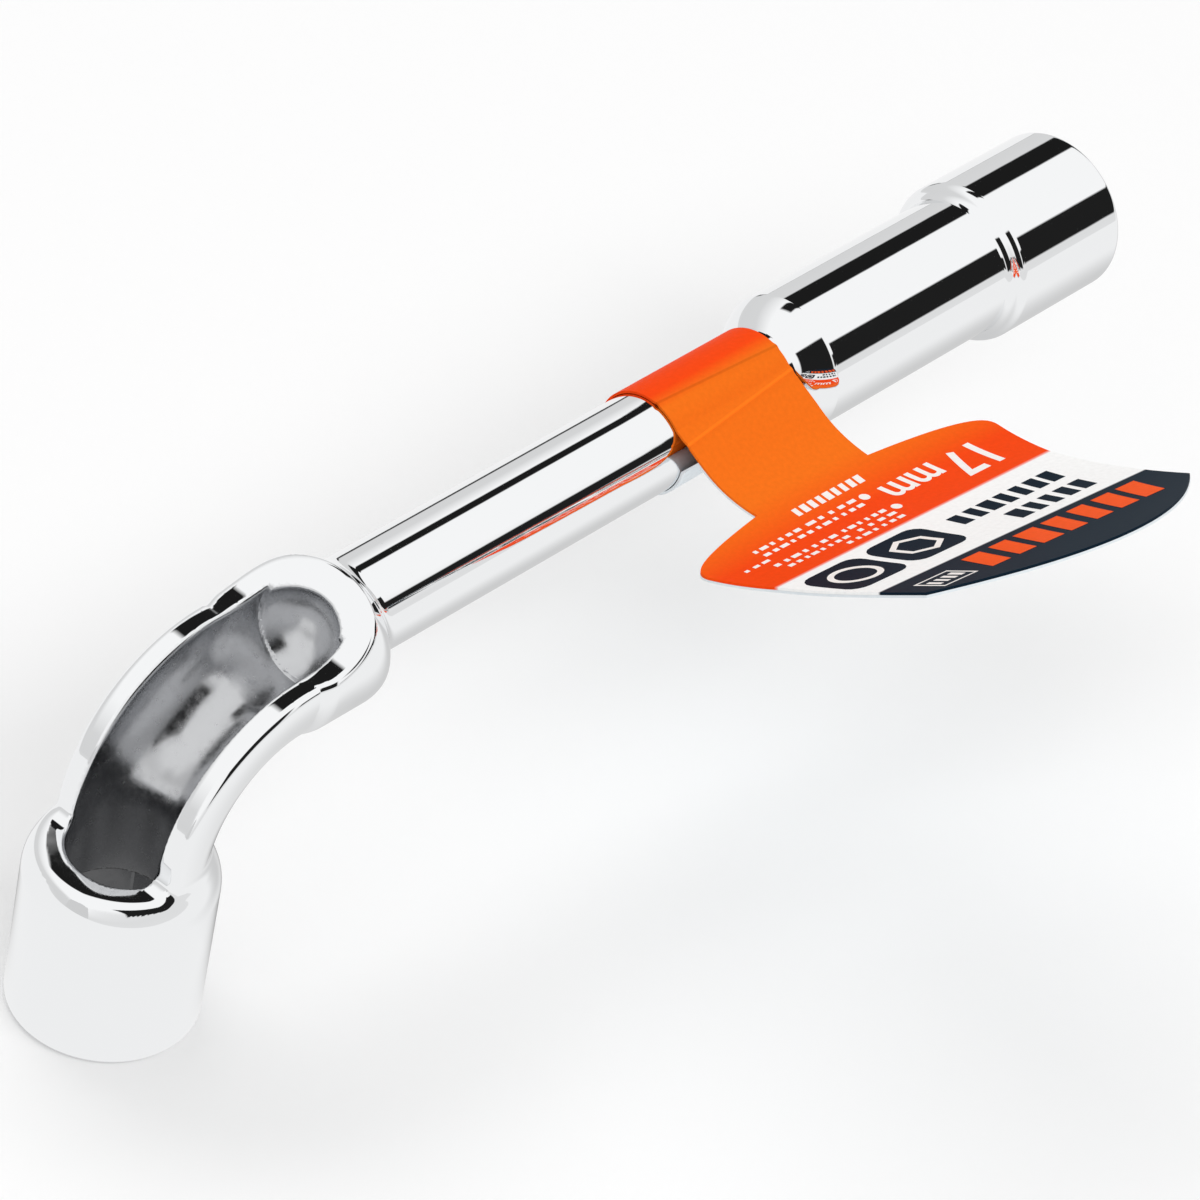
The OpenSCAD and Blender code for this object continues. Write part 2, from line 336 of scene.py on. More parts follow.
def hollow(p):
    """Signed distance from the drilled bore with its dished end and the hexagon with its bevel."""
    x, y, z = p[..., 0], p[..., 1], p[..., 2]
    dish = math.sqrt(BORE_R**2 - POCKET_R**2)
    bore = np.maximum(along_tube(x, y, z) - BORE_R, x - POCKET_X)
    bore = np.minimum(
        bore, np.sqrt((x - POCKET_X + dish) ** 2 + y**2 + (z - AXIS_H) ** 2) - BORE_R
    )
    hexagon = np.maximum(
        np.abs(x), np.maximum(np.abs(x / 2 + y * COS_30), np.abs(x / 2 - y * COS_30))
    ) - HEX_R
    hexagon = np.maximum(hexagon, z - HEX_DEPTH)
    bevel = np.hypot(x, y) + z * HEX_BEVEL_SLOPE - HEX_R / COS_30 - HEX_BEVEL
    bevel = bevel / math.hypot(1, HEX_BEVEL_SLOPE)
    return bore, np.minimum(hexagon, bevel)


def elbow(p):
    """Signed distance from the forging's surface, about, in millimetres; inside is negative."""
    x, y, z = p[..., 0], p[..., 1], p[..., 2]
    flat = np.hypot(x, y)
    line = along_tube(x, y, z)
    # head: an upright cylinder with a rounded shoulder, and the rounded edge of its mouth
    shoulder = np.hypot(
        np.maximum(flat - (HEAD_R - SHOULDER_R), 0), np.maximum(z - WALL_H, 0)
    ) - SHOULDER_R
    head = soft_max(np.maximum(shoulder, flat - HEAD_R), z - NECK_H, TOP_EDGE)
    head = soft_max(head, -z, MOUTH_EDGE)
    # tube and collar
    grow = np.clip((x - BEND_R) / COLLAR_BLEND, 0, 1)
    tube = line - (TUBE_R + (COLLAR_R - TUBE_R) * grow * grow * (3 - 2 * grow))
    tube = np.where(z < NECK_H, np.maximum(tube, NECK_H - TUBE_DIP - z), tube)
    level = np.hypot(z - AXIS_H, y)
    ball = np.sqrt((x - BALL[0]) ** 2 + y**2 + (z - BALL[1]) ** 2) - BALL_R
    tube = np.where(x > BEND_R, soft_max(tube, ball, COLLAR_EDGE), tube)
    shaft = np.maximum(level - SHAFT_R, BALL[0] - x)
    tube = soft_min(tube, shaft, SHAFT_FILLET)
    body = soft_min(head, tube, NECK_FILLET)
    # milled back: open down to the rims, with a rounded corner above the head's ledge
    across = np.hypot(x - BEND_R, z - NECK_H)
    milled = soft_min(across - (BEND_R + RIM_RISE), z - NECK_H, LEDGE_FILLET)
    runout = RUNOUT_R - np.hypot(x - BEND_R, z - (AXIS_H + RIM_RISE + RUNOUT_R))
    milled = np.where(x > BEND_R, runout, milled)
    body = soft_max(body, milled, RIM_EDGE)
    # drilled and broached, and cut off square where the shaft's own piece goes on
    bore, broached = hollow(p)
    body = np.maximum(soft_max(body, -bore, BORE_EDGE), -broached)
    return np.maximum(body, x - SEAM_X)


def slope_of(distance, p, eps=0.004):
    """Outward unit normals of a distance function at points p."""
    n = np.stack(
        [distance(p + eps * e) - distance(p - eps * e) for e in np.eye(3)], axis=-1
    )
    return n / np.maximum(np.linalg.norm(n, axis=-1, keepdims=True), 1e-12)


def contour(distance, low, high, step):
    """A mesh of the surface where distance is zero: dual contouring, so that edges stay crisp.
    Returns points, quads and a normal for each point."""
    axes = [np.arange(low[i], high[i] + step, step) for i in range(3)]
    shape = [len(a) for a in axes]
    grid = np.stack(np.meshgrid(*axes, indexing="ij"), axis=-1)
    value = distance(grid)
    cell_id = np.arange(np.prod(shape)).reshape(shape)
    hits, normals, owners, quads = [], [], [], []
    for axis in range(3):
        first = [slice(1, -1)] * 3
        second = list(first)
        first[axis], second[axis] = slice(0, -1), slice(1, None)
        a, b = value[tuple(first)], value[tuple(second)]
        crossing = np.nonzero((a < 0) != (b < 0))
        t = a[crossing] / (a[crossing] - b[crossing])
        index = np.stack(crossing, axis=-1)
        index += [0 if i == axis else 1 for i in range(3)]
        point = np.stack([axes[i][index[:, i]] for i in range(3)], axis=-1)
        point[:, axis] += t * step
        normal = slope_of(distance, point)
        u, v = [i for i in range(3) if i != axis]
        around = []
        for du, dv in ((0, 0), (1, 0), (1, 1), (0, 1)):
            owner = index.copy()
            owner[:, u] -= du
            owner[:, v] -= dv
            around.append(cell_id[owner[:, 0], owner[:, 1], owner[:, 2]])
            hits.append(point)
            normals.append(normal)
            owners.append(around[-1])
        quad = np.stack(around, axis=-1)
        outward = (a[crossing] < 0) == (axis == 1)
        quad[outward] = quad[outward][:, ::-1]
        quads.append(quad)
    hits, normals, owners = (np.concatenate(x) for x in (hits, normals, owners))
    quads = np.concatenate(quads)
    used, owners = np.unique(owners, return_inverse=True)
    count = np.bincount(owners)[:, None]

    def total(x):
        flat_x = x.reshape(len(x), -1)
        sums = [np.bincount(owners, flat_x[:, i]) for i in range(flat_x.shape[1])]
        return np.stack(sums, -1).reshape((-1,) + x.shape[1:])

    # each cell's point goes where the planes of its hits meet, held back to near the cell
    steadying, farthest, crisp = 0.02, 0.9 * step, 0.93
    middle = total(hits) / count
    spread = normals[:, :, None] * normals[:, None, :]
    offset = np.sum(normals * (hits - middle[owners]), axis=1)
    square = total(spread) + steadying * np.eye(3)
    moved = np.linalg.solve(square, total(normals * offset[:, None])[..., None])[..., 0]
    length = np.linalg.norm(moved, axis=1, keepdims=True)
    moved *= np.minimum(1, farthest / np.maximum(length, 1e-9))
    points = middle + moved
    # where the hits' normals agree, it is drawn onto the surface and takes its true normal
    mean = total(normals) / count
    smooth = np.linalg.norm(mean, axis=1) > crisp
    for _ in range(3):
        near = slope_of(distance, points[smooth])
        points[smooth] -= near * distance(points[smooth])[:, None]
    vertex_normals = mean / np.maximum(np.linalg.norm(mean, axis=1, keepdims=True), 1e-9)
    vertex_normals[smooth] = slope_of(distance, points[smooth])
    return points, np.searchsorted(used, quads), vertex_normals


# Chrome plate over polished steel: a mirror with a faint waviness left by polishing, in
# waves of about 8 mm, and a grain of about 1 mm in its roughness. The attribute "inside"
# marks the drilled and broached walls, whose metal is rougher and darker.
WAVES_PER_M, GRAINS_PER_M = 130, 900


def chrome(name, tint, rough, wave, inner):
    """Plated steel: its tint, least roughness and waves' strength, and the tint inside."""
    tree, shader, made = material(name)
    shader.inputs["Metallic"].default_value = 1.0
    place = add(tree, "ShaderNodeTexCoord")
    waves = add(
        tree, "ShaderNodeTexNoise", [("Vector", place.outputs["Object"])],
        values={"Scale": WAVES_PER_M, "Detail": 2.0},
    )
    grain = add(
        tree, "ShaderNodeTexNoise", [("Vector", place.outputs["Object"])],
        values={"Scale": GRAINS_PER_M, "Detail": 4.0},
    )
    inside = add(tree, "ShaderNodeAttribute", attribute_name="inside")
    mix = add(
        tree, "ShaderNodeMix", [("Factor", inside.outputs["Fac"])], data_type="RGBA",
        values={6: linear(tint), 7: linear(inner)},
    )
    tree.links.new(mix.outputs[2], shader.inputs["Base Color"])
    worn = add(
        tree, "ShaderNodeMapRange", [("Value", grain.outputs["Fac"])],
        values={"From Min": 0.3, "From Max": 0.75, "To Min": rough, "To Max": rough + 0.025},
    )
    satin = add(
        tree, "ShaderNodeMapRange", [("Value", grain.outputs["Fac"])],
        values={"From Min": 0.3, "From Max": 0.75, "To Min": 0.16, "To Max": 0.3},
    )
    finish = add(
        tree, "ShaderNodeMix",
        [("Factor", inside.outputs["Fac"]), (2, worn.outputs[0]), (3, satin.outputs[0])],
    )
    tree.links.new(finish.outputs[0], shader.inputs["Roughness"])
    bump = add(
        tree, "ShaderNodeBump", [("Height", waves.outputs["Fac"])],
        values={"Strength": wave, "Distance": 0.0004},
    )
    tree.links.new(bump.outputs[0], shader.inputs["Normal"])
    return made


chrome_plate = chrome("chrome_plate_polished", "#F4F5F6", 0.02, 0.03, "#CBCCCE")

ELBOW_STEP = 0.34
GRID_LOW, GRID_HIGH = (-13.5, -13.5, -1.2), (SEAM_X + 1.5, 13.5, 58)
points, quads, normals = contour(elbow, GRID_LOW, GRID_HIGH, ELBOW_STEP)

# the rim of the end that meets the shaft takes the shaft's own radius and normals, so
# that no seam shows
from_axis = points * (0, 1, 1) - (0, 0, AXIS_H)
reach = np.linalg.norm(from_axis, axis=1)
at_rim = (points[:, 0] > SEAM_X - ELBOW_STEP / 2) & (reach > SHAFT_R - ELBOW_STEP / 2)
outward = from_axis[at_rim] / reach[at_rim][:, None]
points[at_rim] = outward * SHAFT_R + (SEAM_X, 0, AXIS_H)
normals[at_rim] = outward
# and no point of the mouth is below the bench
points[:, 2] = np.maximum(points[:, 2], 0)
elbow_piece = new_piece("elbow_forging", points * MM, quads, chrome_plate)
mesh = elbow_piece.data
mesh.polygons.foreach_set("use_smooth", [True] * len(mesh.polygons))
mesh.normals_split_custom_set_from_vertices([tuple(n) for n in normals])
mesh.update()
INSIDE_FADE, INSIDE_TO = 0.3, 0.45  # the inner finish fades out over the edge of the walls
from_wall = np.abs(np.minimum(*hollow(points)))
inner = np.clip((INSIDE_TO - from_wall) / INSIDE_FADE, 0, 1)
inside = mesh.attributes.new("inside", "FLOAT", "POINT")
inside.data.foreach_set("value", inner.astype(np.float32))
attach(elbow_piece, "wrench")
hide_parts("elbow_head", "elbow_bend", "collar")

# ---- Shaft, barrel and straight head ----
# The rest of the same forging, turned round one axis: a plain round shaft, a domed
# shoulder, the barrel, and the straight head, which is broached with a hexagon behind a
# bevelled mouth and drilled deep enough for a long stud. Polished and plated outside.
BARREL_X, DOME_END_X, BARREL_R, DOME_TURN = 115.6, 120.2, 9.9, 32  # turns are in degrees
STEP_X, STEP_END_X, STRAIGHT_R, STEP_TURN = 156.3, 159.0, 11.6, 64.4
REACH, EDGE_R = 180.0, 0.9  # the mouth's plane, and the round edge of its rim
HEX_BOTTOM_X, DRILL_X, DRILL_POINT = 160.0, 126.0, 118  # where both end, the drill's point
MOUTH_R = HEX_R / COS_30 + 0.3  # the bevel's radius at the mouth
BEVEL_SLOPE, BEVEL_ROOM = 2 / 1.2, 2  # what it narrows by per mm, and a depth clear of it
AROUND = 192
theta = np.arange(AROUND) * 2 * math.pi / AROUND


def arc_between(x0, r0, x1, r1, turn, count):
    """Points on an arc that turns by that many degrees between two points."""
    chord = np.array([x1 - x0, r1 - r0])
    radius = np.linalg.norm(chord) / (2 * math.sin(math.radians(abs(turn)) / 2))
    side = np.array([chord[1], -chord[0]]) / np.linalg.norm(chord) * math.copysign(1, turn)
    centre = np.array([x0, r0]) + chord / 2 + side * radius * math.cos(math.radians(turn) / 2)
    start = np.array([x0, r0]) - centre
    angles = -np.radians(turn) * np.linspace(0, 1, count)
    return [
        tuple(centre + np.array([
            start[0] * math.cos(a) - start[1] * math.sin(a),
            start[0] * math.sin(a) + start[1] * math.cos(a),
        ])) for a in angles
    ]


# a row of points just inside each end of a plain stretch keeps its reflections straight
half_x, half_r, INSET = (STEP_X + STEP_END_X) / 2, (BARREL_R + STRAIGHT_R) / 2, 0.15
outline = (
    [(SEAM_X, SHAFT_R), (BARREL_X - INSET, SHAFT_R), (BARREL_X, SHAFT_R)]
    + arc_between(BARREL_X, SHAFT_R, DOME_END_X, BARREL_R, DOME_TURN, 14)[1:]
    + [(DOME_END_X + INSET, BARREL_R), (STEP_X - INSET, BARREL_R)]
    + arc_between(STEP_X, BARREL_R, half_x, half_r, -STEP_TURN, 9)
    + arc_between(half_x, half_r, STEP_END_X, STRAIGHT_R, STEP_TURN, 9)[1:]
    + [(STEP_END_X + INSET, STRAIGHT_R), (REACH - EDGE_R - INSET, STRAIGHT_R)]
    + arc_between(REACH - EDGE_R, STRAIGHT_R, REACH, STRAIGHT_R - EDGE_R, 90, 9)
)
# each row is its x and radius all round, and 1 where it is on the inner walls
hex_r = HEX_R / np.cos((theta + math.pi / 6) % (math.pi / 3) - math.pi / 6)
rows = [(np.full(AROUND, x), np.full(AROUND, r), 0) for x, r in outline]
rows.append((np.full(AROUND, REACH), np.full(AROUND, MOUTH_R), 0))
bevel_end = REACH - (MOUTH_R - hex_r) / BEVEL_SLOPE
for share_of in (0.33, 0.66, 1.0):
    x = REACH + (bevel_end - REACH) * share_of
    rows.append((x, MOUTH_R + (hex_r - MOUTH_R) * share_of, 0))
for x in np.linspace(REACH - BEVEL_ROOM, HEX_BOTTOM_X, 6):
    rows.append((np.full(AROUND, x), hex_r, 1))
rows.append((np.full(AROUND, HEX_BOTTOM_X), np.full(AROUND, BORE_R), 1))
rows.append((np.full(AROUND, DRILL_X), np.full(AROUND, BORE_R), 1))
tip_x = DRILL_X - BORE_R / math.tan(math.radians(DRILL_POINT / 2))


def turned_mesh(rows, first_x, last_x):
    """Points and faces of rows round the shaft's axis, closed by a point at each end."""
    points = [(first_x, 0, AXIS_H)]
    for x, r, _ in rows:
        points += list(zip(x, r * np.cos(theta), AXIS_H + r * np.sin(theta)))
    points.append((last_x, 0, AXIS_H))
    faces = [(0, 1 + j, 1 + (j + 1) % AROUND) for j in range(AROUND)]
    for i in range(len(rows) - 1):
        low, high = 1 + i * AROUND, 1 + (i + 1) * AROUND
        faces += [
            (low + j, high + j, high + (j + 1) % AROUND, low + (j + 1) % AROUND)
            for j in range(AROUND)
        ]
    low, end = 1 + (len(rows) - 1) * AROUND, len(points) - 1
    faces += [(low + j, end, low + (j + 1) % AROUND) for j in range(AROUND)]
    return np.array(points), faces


def face_outwards(mesh, sharp_from):
    """Turns a closed mesh's faces outwards and shades it smooth, but for edges sharper
    than that many degrees."""
    edit = bmesh.new()
    edit.from_mesh(mesh)
    bmesh.ops.recalc_face_normals(edit, faces=edit.faces)
    edit.to_mesh(mesh)
    edit.free()
    mesh.polygons.foreach_set("use_smooth", [True] * len(mesh.polygons))
    mesh.set_sharp_from_angle(angle=math.radians(sharp_from))


points, faces = turned_mesh(rows, SEAM_X, tip_x)
shaft_piece = new_piece("shaft_and_straight_head", points * MM, faces, chrome_plate)
face_outwards(shaft_piece.data, 24)
inner = np.repeat([float(row[2]) for row in rows], AROUND)
inside = shaft_piece.data.attributes.new("inside", "FLOAT", "POINT")
inside.data.foreach_set("value", np.concatenate([[0], inner, [1]]))
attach(shaft_piece, "wrench")
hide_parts("shaft", "barrel", "straight_head")

# ---- Hang tag: the two leaves ----
# A strip of polypropylene sheet folded in two round the shaft. The printed front leaf
# goes over the shaft, creases where it leaves the steel and flares out into the card.
# The plain back leaf closes the loop from below and is glued to its underside.

# On the flat sheet u goes across it and s along it, in millimetres from the crease where
# it leaves the steel; a negative s goes back round the shaft. Angles are in degrees.
TAG_X, STRAP_W, CARD_W, TAG_LENGTH, SHEET_T = 103.1, 22.9, 60.8, 67.0, 0.35
SLACK = 0.08
OUTER_R = SHAFT_R + SLACK + SHEET_T
CREASE_A = 133.0
FOLD_S = 5.0  # where the two leaves meet
FLARE_S, SIDE_S, SQUARE_END, BOW = 16.0, 22.0, 48.0, 10.6  # the flare, then the bowed end
FLARE_CURVE = 2.7
START_SLOPE, END_SLOPE, CURL_S, CURL_LENGTH = -26.0, 35.0, 7.0, 14.5
TWIST_FROM, TWIST_LENGTH, TWIST_MAX = 6.0, 62.0, 9.4
CARD_SHIFT, NARROWING, NARROWING_LENGTH = 1.8, 1.2, 10
ROW_STEP, FLARE_ROWS, BOW_ROWS, COLUMNS = 0.25, 20, 16, 28


def slope(s):
    """How steeply the sheet climbs at s: it sags off the crease and then curls up."""
    curl = END_SLOPE - (END_SLOPE - START_SLOPE) * math.exp(-(s - CURL_S) / CURL_LENGTH)
    return math.radians(START_SLOPE if s < CURL_S else curl)


def twist(s):
    """How far the sheet is turned about its own length at s."""
    share_of = min(1, max(0, (s - TWIST_FROM) / TWIST_LENGTH))
    return math.radians(TWIST_MAX * math.sin(math.pi / 2 * share_of))


# the sheet's middle line, one point to a millimetre, as (y, z) from the shaft's axis
crease = math.radians(CREASE_A)
LINE = [np.array([OUTER_R * math.cos(crease), OUTER_R * math.sin(crease)])]
for i in range(int(TAG_LENGTH) + 2):
    a = slope(i + 0.5)
    LINE.append(LINE[-1] + np.array([-math.cos(a), math.sin(a)]))


def on_tag(u, s, h):
    """The place of u across and s along from the crease, at height h over the printed face."""
    if s < 0:
        a = crease + s / OUTER_R
        return (TAG_X + u, (OUTER_R + h) * math.cos(a), AXIS_H + (OUTER_R + h) * math.sin(a))
    i = int(s)
    y, z = LINE[i] * (1 - s + i) + LINE[i + 1] * (s - i)
    a, t = slope(s), twist(s)
    return (
        TAG_X + u * math.cos(t) + h * math.sin(t) * math.cos(a),
        y + h * math.sin(a),
        AXIS_H + z - u * math.sin(t) + h * math.cos(a) * math.cos(t),
    )


def across(s, v):
    """The u at s of a line at v, which goes from -1 at one side of the sheet to 1."""
    f = 1 - (1 - min(1, max(0, (s - FLARE_S) / (SIDE_S - FLARE_S)))) ** FLARE_CURVE
    narrowed = NARROWING * min(1, max(0, (s - SIDE_S) / NARROWING_LENGTH))
    return CARD_SHIFT * f + v * (STRAP_W / 2 * (1 - f) + CARD_W / 2 * f - narrowed)


ACROSS_V = [math.sin(math.pi / 2 * i / COLUMNS) for i in range(-COLUMNS, COLUMNS + 1)]
edge_s = TAG_LENGTH - BOW  # where the bowed end meets the card's sides


def tag_rows(start):
    """The leaf's grid of (u, s) from that s on: straight rows, then rows that spread to the bow."""
    straight = [start + i * ROW_STEP for i in range(int((FLARE_S - start) / ROW_STEP))]
    for i in range(FLARE_ROWS + 1):
        straight.append(FLARE_S + (SIDE_S - FLARE_S) * (i / FLARE_ROWS) ** 1.7)
    straight += [SIDE_S + i for i in range(1, int(SQUARE_END - SIDE_S) + 1)]
    rows = [[(across(s, v), s) for v in ACROSS_V] for s in straight]
    for i in range(1, BOW_ROWS + 1):
        f = i / BOW_ROWS
        rows.append([
            (across(SQUARE_END, v), SQUARE_END + f * (edge_s + BOW * (1 - v * v) - SQUARE_END))
            for v in ACROSS_V
        ])
    return rows


def leaf(name, rows_top, rows_under, flat_rows, made_of):
    """A closed sheet between two grids of points, with its flat (u, s) as a UV map in metres."""
    n, m = len(rows_top), len(rows_top[0])
    points = [p for row in rows_top for p in row] + [p for row in rows_under for p in row]
    k = n * m
    faces = []
    for i in range(n - 1):
        for j in range(m - 1):
            c = i * m + j
            faces.append((c, c + m, c + m + 1, c + 1))
            faces.append((k + c, k + c + 1, k + c + m + 1, k + c + m))
    rim = list(range(m)) + [i * m + m - 1 for i in range(1, n)]
    rim += [(n - 1) * m + j for j in range(m - 2, -1, -1)] + [i * m for i in range(n - 2, 0, -1)]
    for i, a in enumerate(rim):
        b = rim[(i + 1) % len(rim)]
        faces.append((a, b, k + b, k + a))
    obj = new_piece(name, np.array(points) * MM, faces, made_of)
    face_outwards(obj.data, 50)
    flat = [q for row in flat_rows for q in row] * 2
    uv = obj.data.uv_layers.new(name="flat")
    for loop in obj.data.loops:
        u, s = flat[loop.vertex_index]
        uv.data[loop.index].uv = (u * MM, s * MM)
    return obj


# The two small creases that wrapping has left across the strap: each one's s, its lean, its height
# and width, and how much the colour is multiplied by along it, as painted shade on the first and a
# painted highlight on the second
CREASES = [(-3.9, 0.05, 0.20, 0.45, 0.80), (1.4, -0.09, 0.17, 0.42, 1.22)]


def crease_ridge(u, s):
    """Height of those creases over the sheet."""
    return sum(
        height * math.exp(-(((s - at - lean * u) / width) ** 2))
        for at, lean, height, width, _ in CREASES
    )


WRAP_ROWS = 90
crease_s = crease * OUTER_R
wrap = [-crease_s + crease_s * i / WRAP_ROWS for i in range(WRAP_ROWS)]
front_rows = [[(v * STRAP_W / 2, s) for v in ACROSS_V] for s in wrap] + tag_rows(0)

# Printed polypropylene: white extruded sheet, offset printed with opaque inks, so the
# colours are flat and even, with hardly any sheen and a barely visible mottle in the ink
# of about 0.7 mm, which is as fine as shows
tree, shader, card_print = material("polypropylene_sheet_offset_printed")
where = add(tree, "ShaderNodeUVMap", uv_map="flat")
part = add(tree, "ShaderNodeSeparateXYZ", [("Vector", where.outputs["UV"])])
ORANGE, RED_ORANGE, WHITE, NAVY = "#F5741C", "#F84A14", "#FCFCFB", "#12222F"
bands = add(tree, "ShaderNodeValToRGB")
PRINT_FROM, PRINT_TO, MOTTLES_PER_M = -20 * MM, 70 * MM, 1400
along = add(
    tree, "ShaderNodeMapRange", [("Value", part.outputs["Y"])],
    values={"From Min": PRINT_FROM, "From Max": PRINT_TO},
)
tree.links.new(along.outputs[0], bands.inputs["Fac"])
# each colour of the print and the s that it starts or ends at
STOPS = [
    (-20, RED_ORANGE), (-6, RED_ORANGE), (-3.5, ORANGE), (14, ORANGE), (24, RED_ORANGE),
    (32.0, RED_ORANGE), (32.1, WHITE), (48.7, WHITE), (48.8, NAVY),
]
for i, (s, colour) in enumerate(STOPS):
    place = (s * MM - PRINT_FROM) / (PRINT_TO - PRINT_FROM)
    stop = bands.color_ramp.elements[i] if i < 2 else bands.color_ramp.elements.new(place)
    stop.position = place
    stop.color = linear(colour)
mottled = add(
    tree, "ShaderNodeTexNoise", [("Vector", where.outputs["UV"])],
    values={"Scale": MOTTLES_PER_M, "Detail": 3.0},
)
mottle = add(
    tree, "ShaderNodeMapRange", [("Value", mottled.outputs["Fac"])],
    values={"From Min": 0.3, "From Max": 0.7, "To Min": 0.965, "To Max": 1.03},
)
inked = add(
    tree, "ShaderNodeMix", [(6, bands.outputs["Color"])], data_type="RGBA",
    blend_type="MULTIPLY", values={0: 1.0},
)
# painted shade darkens the colour along the first crease, and a painted highlight lightens it along
# the second
# the painted crease shade and highlight fade out between these distances from each crease's line
CREASE_SHADING_FROM, CREASE_SHADING_TO = 0.05 * MM, 0.32 * MM
tone = mottle.outputs[0]
for s, lean, _, _, painted_gain in CREASES:
    leaning = add(
        tree, "ShaderNodeMath", [(0, part.outputs["X"])], operation="MULTIPLY", values={1: lean}
    )
    off = add(
        tree, "ShaderNodeMath", [(0, part.outputs["Y"]), (1, leaning.outputs[0])],
        operation="SUBTRACT",
    )
    off = add(
        tree, "ShaderNodeMath", [(0, off.outputs[0])], operation="SUBTRACT", values={1: s * MM}
    )
    off = add(tree, "ShaderNodeMath", [(0, off.outputs[0])], operation="ABSOLUTE")
    crease_shading = add(
        tree, "ShaderNodeMapRange", [("Value", off.outputs[0])],
        interpolation_type="SMOOTHSTEP",
        values={"From Min": CREASE_SHADING_FROM, "From Max": CREASE_SHADING_TO, "To Min": painted_gain, "To Max": 1.0},
    )
    tone = add(
        tree, "ShaderNodeMath", [(0, tone), (1, crease_shading.outputs[0])], operation="MULTIPLY"
    ).outputs[0]
tree.links.new(tone, inked.inputs[7])
tree.links.new(inked.outputs[2], shader.inputs["Base Color"])
shader.inputs["Roughness"].default_value = 0.42
shader.inputs["Specular IOR Level"].default_value = 0.01
bump = add(
    tree, "ShaderNodeBump", [("Height", mottled.outputs["Fac"])],
    values={"Strength": 0.05, "Distance": 0.0001},
)
tree.links.new(bump.outputs[0], shader.inputs["Normal"])

front_leaf = leaf(
    "tag_front_leaf",
    [[on_tag(u, s, crease_ridge(u, s)) for u, s in row] for row in front_rows],
    [[on_tag(u, s, crease_ridge(u, s) - SHEET_T) for u, s in row] for row in front_rows],
    front_rows, card_print,
)
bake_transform(front_leaf)
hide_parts("tag_strap_front", "tag_card_front")

# Plain polypropylene: the unprinted back of the same sheet, cool white with a soft sheen,
# its cloudiness about 1 mm across
CLOUDS_PER_M = 900
tree, shader, card_plain = material("polypropylene_sheet_extruded")
where = add(tree, "ShaderNodeUVMap", uv_map="flat")
mottled = add(
    tree, "ShaderNodeTexNoise", [("Vector", where.outputs["UV"])],
    values={"Scale": CLOUDS_PER_M, "Detail": 3.0},
)
tone = add(
    tree, "ShaderNodeMix", [("Factor", mottled.outputs["Fac"])], data_type="RGBA",
    values={6: linear("#DDE5EA"), 7: linear("#F0F5F8")},
)
tree.links.new(tone.outputs[2], shader.inputs["Base Color"])
shader.inputs["Roughness"].default_value = 0.55

# round the shaft's underside first, then along under the front leaf, glued to it
BACK_ROWS, BACK_TURN, BACK_ROUND, BACK_START = 80, 178, 22.9, 22
back_top, back_under, back_flat = [], [], []
for i in range(BACK_ROWS + 1):
    a = math.radians(-i / BACK_ROWS * BACK_TURN)
    for rows, r in ((back_top, OUTER_R - SHEET_T), (back_under, OUTER_R)):
        rows.append([
            (TAG_X + v * STRAP_W / 2, r * math.cos(a), AXIS_H + r * math.sin(a)) for v in ACROSS_V
        ])
    back_flat.append([(v * STRAP_W / 2, i / BACK_ROWS * BACK_ROUND) for v in ACROSS_V])
GLUE = 0.02  # its thickness between the leaves
card_rows = tag_rows(FOLD_S)
for row in card_rows:
    back_top.append([on_tag(u, s, -SHEET_T - GLUE) for u, s in row])
    back_under.append([on_tag(u, s, -2 * SHEET_T) for u, s in row])
    back_flat.append([(u, s + BACK_START) for u, s in row])
back_leaf = leaf("tag_back_leaf", back_top, back_under, back_flat, card_plain)
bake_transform(back_leaf)
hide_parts("tag_strap_back", "tag_card_back")

# ---- Hang tag: the print ----
# What is printed on the card over its colours, in three inks: the hexagon's size in white
# figures, lines of print as plain bars, two dark panels with a hexagon and a ring, slanted
# orange blocks and a framed badge. It reads from the card's far end.

INK_T, INK_UNDER = 0.02, 0.012  # an ink's thickness, and its underside over the sheet
SPECKS_PER_M = 1500


def ink(name, colour, wear):
    """Opaque printing ink under varnish: even, with a fine loss of colour in its mottle,
    of that share at most."""
    tree, shader, made = material(name)
    where = add(tree, "ShaderNodeTexCoord")
    specks = add(
        tree, "ShaderNodeTexNoise", [("Vector", where.outputs["Object"])],
        values={"Scale": SPECKS_PER_M, "Detail": 3.0},
    )
    tone = add(
        tree, "ShaderNodeMapRange", [("Value", specks.outputs["Fac"])],
        values={"From Min": 0.3, "From Max": 0.7, "To Min": 1 - wear, "To Max": 1.0},
    )
    mix = add(
        tree, "ShaderNodeMix", data_type="RGBA", blend_type="MULTIPLY",
        values={0: 1.0, 6: linear(colour)},
    )
    tree.links.new(tone.outputs[0], mix.inputs[7])
    tree.links.new(mix.outputs[2], shader.inputs["Base Color"])
    shader.inputs["Roughness"].default_value = 0.45
    shader.inputs["Specular IOR Level"].default_value = 0.01
    return made


white_ink = ink("ink_opaque_white", "#FBF6F2", 0.06)
orange_ink = ink("ink_orange", "#FA5A1E", 0.05)
navy_ink = ink("ink_navy", NAVY, 0.12)

